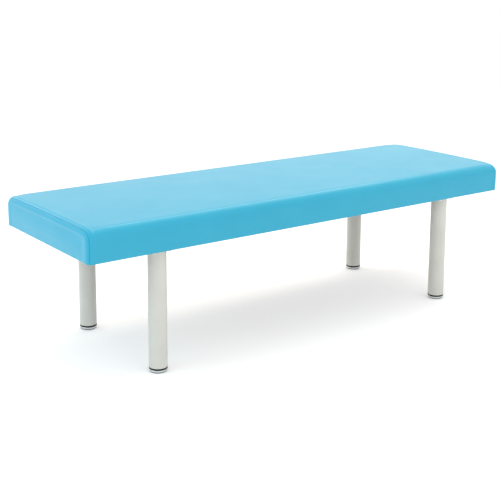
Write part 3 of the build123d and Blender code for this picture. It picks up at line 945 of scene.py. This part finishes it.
staple_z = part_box("underside_staples")[0].z + staple_thickness / 2
along_rails = [(x, y, staple_z) for x in staple_row(frame_half_length, (-leg_x, leg_x))
               for y in (-rail_y, rail_y)]
along_ends = [(x, y, staple_z) for x in (-end_rail_x, end_rail_x)
              for y in staple_row(member_half_length, ())]
staple_turns = [0.0] * len(along_rails) + [pi / 2] * len(along_ends)
staple_piece = grow("wire_staples", staples, along_rails + along_ends, turns=staple_turns,
                    width=staple_width, wire=staple_wire, thickness=staple_thickness, leg=staple_leg,
                    finish=bright_zinc)
soften_edges(staple_piece, staple_edge, 1)
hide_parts("underside_staples")
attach(staple_piece, "table")

# Leg plates. Laser-cut steel squares with rounded corners and four bolt holes, one welded on top
# of each leg and painted with it. They seat on the timber through the cut-outs in the cloth.
paint_grey = (0.700, 0.700, 0.655)
paint_grey_deep = (0.655, 0.655, 0.610)
plate_corner = 10 * mm
bolt_offset = 29.5 * mm
bolt_hole_radius = 4.5 * mm
hole_segments = 24
painted_edge = 0.5 * mm

paint, shader, tree = new_finish("warm_grey_paint", paint_grey, 0.34)
shader.inputs["Specular IOR Level"].default_value = 0.2
points = stretched_points(tree)
clouds = cloudy(points, 12, 3.0)
peel = cloudy(points, 420)
scuffs = cloudy(stretched_points(tree, (1, 1, 0.15)), 90, 4.0, 0.7)
color = two_colors(spread(clouds, 0.3, 0.7), paint_grey, paint_grey_deep)
add_pattern(shader, two_colors(spread(scuffs, 0.66, 0.8, 0.0, 0.25), color, paint_grey_deep),
            spread(scuffs, 0.4, 0.8, 0.32, 0.46), (peel, 0.05 * mm))

plate_low, plate_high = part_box("mount_plate_front_left")
plate_outline = rounded_rectangle(plate_half, plate_half, plate_corner, 8)
bolt_spots = [Vector(p) * bolt_offset for p in product((-1, 1), repeat=2)]
hole_turns = [2 * pi * i / hole_segments for i in range(hole_segments)]
hole = [bolt_hole_radius * Vector((cos(turn), sin(turn))) for turn in hole_turns]
flat, faces = flat_triangles(plate_outline, [shifted(hole, spot) for spot in bolt_spots])
for leg, place in leg_places.items():
    points = [(*(p + Vector(place)), plate_high.z) for p in flat]
    plate = make_piece(f"leg_plate_{leg}", points, faces, paint, middle=(0, 0, 0))
    skin(plate, plate_high.z - plate_low.z)
    soften_edges(plate, painted_edge)
    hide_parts(f"mount_plate_{leg}")
    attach(plate, "table")

# Leg tubes. Round welded steel tube, cut square, deburred and powder coated in warm light grey.
tube_radius = (tube_high.x - tube_low.x) / 2
tube_wall = 2.3 * mm
tube_segments = 128

rings, inside = new_tree("rings_on_points", outer=0.0, wall=0.0, height=0.0, segments=0, finish="")
centre_line = calculate("SUBTRACT", inside["outer"], calculate("DIVIDE", inside["wall"], 2.0))
circle = add_node(rings, "GeometryNodeCurvePrimitiveCircle",
                  {"Resolution": inside["segments"], "Radius": centre_line})
section = add_node(rings, "GeometryNodeCurvePrimitiveQuadrilateral",
                   {"Width": inside["wall"], "Height": inside["height"]})
swept = add_node(rings, "GeometryNodeCurveToMesh", {"Curve": circle, "Profile Curve": section})
close_tree(inside, copies_on(inside["Geometry"], swept))

tube_places = [(*place, (tube_low.z + tube_high.z) / 2) for place in leg_places.values()]
tubes = grow("leg_tubes", rings, tube_places, outer=tube_radius, wall=tube_wall,
             height=tube_high.z - tube_low.z, segments=tube_segments, finish=paint)
soften_edges(tubes, painted_edge)
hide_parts(*[f"leg_tube_{leg}" for leg in leg_names])
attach(tubes, "table")

# Weld beads. One fillet weld joins each tube to its plate: overlapping ripples laid round the
# tube by hand, then painted over with the leg.
bead_radius = 2.6 * mm
bead_ripples = 64

welds, inside = new_tree("weld_ripples", ring=0.0, bead=0.0, ripples=0, finish="")
circle = add_node(welds, "GeometryNodeCurvePrimitiveCircle",
                  {"Resolution": inside["ripples"], "Radius": inside["ring"]})
ripple = add_node(welds, "GeometryNodeMeshUVSphere", {"Segments": 10, "Rings": 8, "Radius": inside["bead"]})
ripple_ring = copies_on(circle, ripple, Rotation=along_line(welds, "X"))
close_tree(inside, copies_on(inside["Geometry"], ripple_ring))

weld_places = [(*place, plate_low.z) for place in leg_places.values()]
weld_beads = grow("weld_beads", welds, weld_places, ring=tube_radius, bead=bead_radius, ripples=bead_ripples,
                  finish=paint)
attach(weld_beads, "table")

# Bolts and washers. Four M8 hexagon bolts with flat washers fix each plate to the threaded
# inserts in the leg beam. Bright zinc plated, put in from below.
bolt_flats = 13 * mm
bolt_head = 4.0 * mm
bolt_radius = 4 * mm
bolt_length = 25 * mm
bolt_edge = 0.45 * mm
washer_outer = 8.5 * mm
washer_wall = 4.4 * mm
washer_edge = 0.2 * mm
washer_segments = 40
washer_low, washer_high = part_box("leg_washers_front_left")

bolts, inside = new_tree("hexagon_bolts", flats=0.0, head=0.0, radius=0.0, length=0.0, finish="")
corner = calculate("DIVIDE", inside["flats"], 2 * cos(pi / 6))
head = add_node(bolts, "GeometryNodeMeshCylinder", {"Vertices": 6, "Radius": corner, "Depth": inside["head"]})
shank = add_node(bolts, "GeometryNodeMeshCylinder",
                 {"Vertices": 24, "Radius": inside["radius"], "Depth": inside["length"]})
bolt = together(moved_shape(head, z=calculate("DIVIDE", inside["head"], -2.0)),
                moved_shape(shank, z=calculate("DIVIDE", inside["length"], 2.0)))
close_tree(inside, copies_on(inside["Geometry"], bolt))

bolt_places = [(px + s.x, py + s.y, washer_low.z) for px, py in leg_places.values() for s in bolt_spots]
bolt_piece = grow("leg_bolts", bolts, bolt_places, flats=bolt_flats, head=bolt_head, radius=bolt_radius,
                  length=bolt_length, finish=bright_zinc)
soften_edges(bolt_piece, bolt_edge)
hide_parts(*[f"leg_bolts_{leg}" for leg in leg_names])
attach(bolt_piece, "table")

washer_places = [(x, y, (washer_low.z + washer_high.z) / 2) for x, y, _ in bolt_places]
washers = grow("leg_washers", rings, washer_places, outer=washer_outer, wall=washer_wall,
               height=washer_high.z - washer_low.z, segments=washer_segments, finish=bright_zinc)
soften_edges(washers, washer_edge)
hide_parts(*[f"leg_washers_{leg}" for leg in leg_names])
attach(washers, "table")

# End plugs. Moulded black plastic, pushed into the tube's lower end. The flange shows as the
# black ring, and a ribbed boss inside holds the foot's nut in a hexagon pocket.
plastic_black = (0.012, 0.012, 0.013)
plastic_grey = (0.030, 0.030, 0.032)
plug_low, plug_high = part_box("end_plug_front_left")
flange_top = tube_low.z
fit_gap = 0.1 * mm
spigot_radius = tube_radius - tube_wall - fit_gap
spigot_wall = 3 * mm
boss_radius = 13.5 * mm
boss_height = 20 * mm
bore_radius = 7 * mm
nut_flats = 19 * mm
nut_corner = nut_flats / 2 / cos(pi / 6) + fit_gap
nut_height = 10 * mm
rib_height = 18 * mm
rib_half = 1.25 * mm
rib_near = boss_radius - 0.5 * mm
rib_far = spigot_radius - spigot_wall / 2
rib_sink = 0.2 * mm


def soften(outline, radii, steps=5):
    """A closed outline of radius and height points; radii gives the roundings by corner number."""
    points = []
    for i, corner_point in enumerate(outline):
        here = Vector(corner_point)
        if i not in radii:
            points.append(tuple(here))
            continue
        before = (Vector(outline[i - 1]) - here).normalized()
        after = (Vector(outline[(i + 1) % len(outline)]) - here).normalized()
        half = before.angle(after) / 2
        centre = here + (before + after).normalized() * radii[i] / sin(half)
        start = here + before * radii[i] / tan(half) - centre
        end = here + after * radii[i] / tan(half) - centre
        first, sweep = atan2(start.y, start.x), atan2(end.y, end.x) - atan2(start.y, start.x)
        sweep = (sweep + pi) % (2 * pi) - pi
        points += [(centre.x + radii[i] * cos(first + sweep * k / steps),
                    centre.y + radii[i] * sin(first + sweep * k / steps)) for k in range(steps + 1)]
    return points


def turned_shape(outline, place, segments=96, hexagon=()):
    """A shape turned round a leg's axis; the points named in hexagon follow a hexagon instead."""
    points = []
    for k in range(segments):
        angle = 2 * pi * k / segments
        flat_share = cos(pi / 6) / cos((angle % (pi / 3)) - pi / 6)
        for i, (radius, z) in enumerate(outline):
            reach = radius * (flat_share if i in hexagon else 1)
            points.append((place[0] + reach * cos(angle), place[1] + reach * sin(angle), z))
    return points, grid_faces(segments, len(outline), True, True)


def block(low, high):
    """A plain block's points and faces between two corners."""
    points = list(product(*zip(low, high)))
    faces = [(0, 1, 3, 2), (4, 6, 7, 5), (0, 4, 5, 1), (2, 3, 7, 6), (0, 2, 6, 4), (1, 5, 7, 3)]
    return points, faces


def joined(*shapes):
    """The points and faces of several shapes as one."""
    points, faces = [], []
    for shape_points, shape_faces in shapes:
        first = len(points)
        points += shape_points
        faces += [tuple(first + i for i in face) for face in shape_faces]
    return points, faces


black, shader, tree = new_finish("moulded_black", plastic_black, 0.38)
shader.inputs["Specular IOR Level"].default_value = 0.2
points = stretched_points(tree)
grain = cloudy(points, 1500, 3.0)
add_pattern(shader, two_colors(spread(cloudy(points, 70, 3.0), 0.45, 0.8), plastic_black, plastic_grey),
            spread(grain, 0.3, 0.7, 0.34, 0.46), (grain, 0.03 * mm))

boss_top = flange_top + boss_height
pocket_z = boss_top - nut_height
spigot_inner = spigot_radius - spigot_wall
plug_outline = soften([
    (bore_radius, plug_low.z), (tube_radius, plug_low.z), (tube_radius, flange_top),
    (spigot_radius, flange_top), (spigot_radius, plug_high.z), (spigot_inner, plug_high.z),
    (spigot_inner, flange_top), (boss_radius, flange_top), (boss_radius, boss_top),
], {1: 0.7 * mm, 2: 0.6 * mm, 4: 0.5 * mm})
pocket = [(nut_corner, boss_top), (nut_corner, pocket_z), (bore_radius, pocket_z)]
hexagon = range(len(plug_outline), len(plug_outline) + 2)
for leg, place in leg_places.items():
    shapes = [turned_shape(plug_outline + pocket, place, hexagon=hexagon)]
    for sx, sy in ((1, 0), (-1, 0), (0, 1), (0, -1)):
        xs = sorted((place[0] + sx * rib_near - sy * rib_half, place[0] + sx * rib_far + sy * rib_half))
        ys = sorted((place[1] + sy * rib_near - sx * rib_half, place[1] + sy * rib_far + sx * rib_half))
        shapes.append(block((xs[0], ys[0], flange_top - rib_sink), (xs[1], ys[1], flange_top + rib_height)))
    plug = make_piece(f"tube_plug_{leg}", *joined(*shapes), black, merge=True)
    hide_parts(f"end_plug_{leg}")
    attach(plug, "table")

# Levelling feet. A pressed steel cup, polished and chromed, that is turned by hand. Its lower rim,
# with a painted dark reflection, is rolled in round the glide, and the threaded stud's head sits inside it.
chrome_tint = (0.58, 0.61, 0.61)
# The colour of the painted dark reflection along the cup's lower rim.
rim_painted_reflection = (0.13, 0.135, 0.135)
foot_low, foot_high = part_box("adjuster_foot_front_left")
foot_radius = (foot_high.x - foot_low.x) / 2
foot_wall = 1.5 * mm
foot_lip = 1.2 * mm
foot_lip_height = 1.0 * mm
painted_reflection_height = 2.0 * mm
stud_radius = 6 * mm
foot_inner = foot_radius - foot_wall
foot_opening = foot_inner - foot_lip
foot_segments = 128

chrome, shader, tree = new_finish("polished_chrome", chrome_tint, 0.09, 1.0)
scratches = cloudy(stretched_points(tree, (1, 1, 14)), 260, 4.0, 0.6)
height = add_node(tree, "ShaderNodeSeparateXYZ", {0: stretched_points(tree)}, "Z")
# Painted dark reflection: the chrome turns dark grey over the lowest few millimetres of the cup.
above_painted_reflection = spread(height, foot_low.z + painted_reflection_height, foot_low.z + 2 * painted_reflection_height)
add_pattern(shader, two_colors(above_painted_reflection, rim_painted_reflection, chrome_tint), spread(scratches, 0.4, 0.8, 0.07, 0.22),
            (scratches, 0.012 * mm))

foot_outline = soften([
    (stud_radius, foot_high.z), (foot_radius, foot_high.z), (foot_radius, foot_low.z),
    (foot_opening, foot_low.z), (foot_opening, foot_low.z + foot_lip_height),
    (foot_inner, foot_low.z + foot_lip_height), (foot_inner, foot_high.z - foot_wall),
    (stud_radius, foot_high.z - foot_wall),
], {1: 2.2 * mm, 2: 2.6 * mm, 3: 0.3 * mm, 4: 0.3 * mm, 6: 0.8 * mm})
for leg, place in leg_places.items():
    shape = turned_shape(foot_outline, place, foot_segments)
    foot = make_piece(f"chrome_foot_{leg}", *shape, chrome, merge=True)
    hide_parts(f"adjuster_foot_{leg}")
    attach(foot, f"adjuster_{leg}")

# Threaded studs. Rolled M12 thread of 1.75 mm pitch, zinc plated, with a low hexagon head held
# in the cup. The thread shows between the cup and the plug once a foot is screwed out.
thread_pitch = 1.75 * mm
thread_depth = 0.95 * mm
thread_segments = 40
thread_rows_per_pitch = 8
stud_low, stud_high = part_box("adjuster_stud_front_left")
stud_head_height = 6 * mm
stud_head_corner = nut_flats / 2 / cos(pi / 6)
stud_head_segments = 48
stud_sunk = 0.5 * mm
stud_tip = 1.5 * mm
tip_slope = 0.8
flank_slope, crest_share = 1.25, 0.12
thread_edge = radians(50)


def threaded_stud(place):
    """The head and the threaded shank, as two closed shapes."""
    top = stud_low.z + stud_head_height
    low, high = top - stud_sunk, stud_high.z
    rows = round((high - low) / thread_pitch * thread_rows_per_pitch)
    points = []
    for r in range(rows + 1):
        z = low + (high - low) * r / rows
        for k in range(thread_segments):
            share = k / thread_segments
            phase = ((z - low) / thread_pitch - share) % 1
            groove = thread_depth * min(1, max(0, abs(2 * phase - 1) * flank_slope - crest_share))
            groove *= float(smooth_share(z, low, low + 2 * thread_pitch))
            tip = max(0, z - (high - stud_tip)) * tip_slope
            reach = min(stud_radius - groove, stud_radius - tip)
            turn = 2 * pi * share
            points.append((place[0] + reach * cos(turn), place[1] + reach * sin(turn), z))
    faces = grid_faces(rows + 1, thread_segments, wrap_columns=True)
    last = rows * thread_segments
    faces += [tuple(range(thread_segments)), tuple(range(last, last + thread_segments))]
    head_outline = [(0, stud_low.z), (stud_head_corner, stud_low.z), (stud_head_corner, top), (0, top)]
    return joined((points, faces), turned_shape(head_outline, place, stud_head_segments, (1, 2)))


for leg, place in leg_places.items():
    stud = make_piece(f"threaded_stud_{leg}", *threaded_stud(place), bright_zinc, thread_edge, merge=True)
    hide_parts(f"adjuster_stud_{leg}")
    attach(stud, f"adjuster_{leg}")

# Glides. Turned black nylon, held in the rolled rim. A glide stands still on the floor while
# the cup turns round it, and its face is lightly scuffed.
nylon_black = (0.016, 0.016, 0.017)
nylon_scuffed = (0.045, 0.045, 0.044)
glide_low, glide_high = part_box("glide_front_left")
glide_body = (glide_high.x - glide_low.x) / 2
glide_rim = foot_opening - 0.08 * mm
glide_shoulder = foot_low.z + foot_lip_height + fit_gap
glide_pocket = stud_head_corner + 2 * fit_gap
glide_floor = stud_low.z - 0.05 * mm

nylon, shader, tree = new_finish("black_nylon", nylon_black, 0.36)
scuffed = cloudy(stretched_points(tree, (1, 4, 1)), 190, 5.0, 0.65)
add_pattern(shader, two_colors(spread(scuffed, 0.5, 0.75), nylon_black, nylon_scuffed),
            spread(scuffed, 0.4, 0.7, 0.32, 0.5), (scuffed, 0.05 * mm))

glide_outline = soften([
    (0, glide_low.z), (glide_rim, glide_low.z), (glide_rim, glide_shoulder), (glide_body, glide_shoulder),
    (glide_body, glide_high.z), (glide_pocket, glide_high.z), (glide_pocket, glide_floor), (0, glide_floor),
], {1: 0.5 * mm, 3: 0.3 * mm, 4: 0.4 * mm})
for leg, place in leg_places.items():
    glide = make_piece(f"nylon_glide_{leg}", *turned_shape(glide_outline, place), nylon, merge=True)
    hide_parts(f"glide_{leg}")
    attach(glide, f"glide_{leg}")

# Studio. A white floor that keeps the table's soft shadow, a white world behind it and five weak
# softboxes; the two at the right draw the light line along the front edge. A square of floor
# goes down with each glide, so a foot that is screwed out stands on it; four flat strips round it stay put.
floor_reach = 30.0
ramp_start, ramp_end = 0.22, 0.04
ramp_steps = 12
floor_card = (0.86, 0.86, 0.86)
near_glow, far_glow = 0.33, 0.12
glow_start, glow_end = 1.6, 5.0
world_strength = 1.05
left_blue = (0.32, 0.84, 1.0)
soft_white = (1.0, 0.95, 0.86)
warm_white = (1.0, 0.88, 0.70)

floor_finish, _, tree = new_finish("studio_floor", floor_card, 1.0)
tree.nodes.clear()
card = add_node(tree, "ShaderNodeBsdfDiffuse", {"Color": (*floor_card, 1)})
points = stretched_points(tree)
from_middle = add_node(tree, "ShaderNodeVectorMath", {0: points}, "Value", operation="LENGTH")
glow_there = spread(from_middle, glow_start, glow_end, near_glow, far_glow)
ray = tree.nodes.new("ShaderNodeLightPath").outputs
mirrored = calculate("ADD", ray["Is Glossy Ray"], ray["Is Transmission Ray"])
seen = calculate("ADD", ray["Is Camera Ray"], mirrored)
strength = calculate("MULTIPLY", seen, glow_there)
glow = add_node(tree, "ShaderNodeEmission", {"Color": (1, 1, 1, 1), "Strength": strength})
floor_sum = add_node(tree, "ShaderNodeAddShader", {0: card, 1: glow})
tree.links.new(floor_sum, tree.nodes.new("ShaderNodeOutputMaterial").inputs["Surface"])
cuts = [[-floor_reach, -p - ramp_start, -p + ramp_start, p - ramp_start, p + ramp_start, floor_reach]
        for p in (leg_x, leg_y)]
points = [(x, y, 0) for y in cuts[1] for x in cuts[0]]
holes = [5 * row + column for row, column in product((1, 3), repeat=2)]
faces = [face for number, face in enumerate(grid_faces(6, 6)) if number not in holes]
floor = make_piece("studio_floor", points, faces, floor_finish)
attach(floor, "table")
for leg, (x, y) in leg_places.items():
    square = [(x + sx * ramp_end, y + sy * ramp_end, 0) for sx, sy in ((-1, -1), (1, -1), (1, 1), (-1, 1))]
    stand = make_piece(f"floor_square_{leg}", square, [(0, 1, 2, 3)], floor_finish)
    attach(stand, f"glide_{leg}")
    for side, (ux, uy) in {"right": (1, 0), "back": (0, 1), "left": (-1, 0), "front": (0, -1)}.items():
        points = [(x + (ux - s * uy) * reach, y + (uy + s * ux) * reach, 0)
                  for reach in np.linspace(ramp_start, ramp_end, ramp_steps + 1) for s in (-1, 1)]
        faces = grid_faces(ramp_steps + 1, 2)
        ramp = make_piece(f"floor_ramp_{leg}_{side}", points, faces, floor_finish)
        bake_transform(ramp)

world = bpy.data.worlds.new("studio_world")
bpy.context.scene.world = world
world.use_nodes = True
background = world.node_tree.nodes["Background"]
background.inputs["Color"].default_value = (1, 1, 1, 1)
background.inputs["Strength"].default_value = world_strength


def softbox(name, place, target, size, power, color=(1, 1, 1)):
    """A rectangular lamp that looks at a target."""
    lamp = bpy.data.lights.new(name, "AREA")
    lamp.shape = "RECTANGLE"
    lamp.size, lamp.size_y = size
    lamp.energy = power
    lamp.color = color
    holder = in_scene(name, lamp)
    holder.location = place
    holder.rotation_euler = (Vector(target) - Vector(place)).to_track_quat("-Z", "Y").to_euler()


softbox("edge_softbox", (1.5, 1.1, 2.9), (1.5, -0.5, 0.5), (3.0, 0.7), 23, warm_white)
softbox("overhead_softbox", (1.2, 0.0, 3.05), (-0.4, -0.3, 0.5), (0.9, 2.8), 9, warm_white)
softbox("front_softbox", (-0.4, -3.6, 0.9), (0, 0, 0.4), (2.0, 0.8), 3, soft_white)
softbox("left_softbox", (-3.0, 0.2, 2.2), (0, 0, 0.4), (1.4, 1.2), 14, left_blue)
softbox("back_softbox", (-1.5, 3.2, 1.9), (-0.9, 0, 0.5), (1.6, 0.9), 8, soft_white)

camera_place = Vector((-2.214, -2.889, 1.274))
camera_yaw = radians(36.24)
camera_pitch = radians(-10.26)
camera_roll = radians(0.27)
camera_lens = 73.01
camera_shift = -0.20
ahead = Vector((sin(camera_yaw), cos(camera_yaw), 0))
forward = ahead * cos(camera_pitch) + Vector((0, 0, sin(camera_pitch)))
level = Vector((ahead.y, -ahead.x, 0))
upright = level.cross(forward)
right = level * cos(camera_roll) + upright * sin(camera_roll)
up = upright * cos(camera_roll) - level * sin(camera_roll)
lens = bpy.data.cameras.new("camera")
lens.lens = camera_lens
lens.sensor_width = 36
lens.shift_y = camera_shift
lens.clip_end = 100
camera = in_scene("camera", lens)
camera.matrix_world = Matrix.Translation(camera_place) @ Matrix((right, up, -forward)).transposed().to_4x4()
bpy.context.scene.camera = camera
bpy.context.scene.view_settings.view_transform = "Standard"
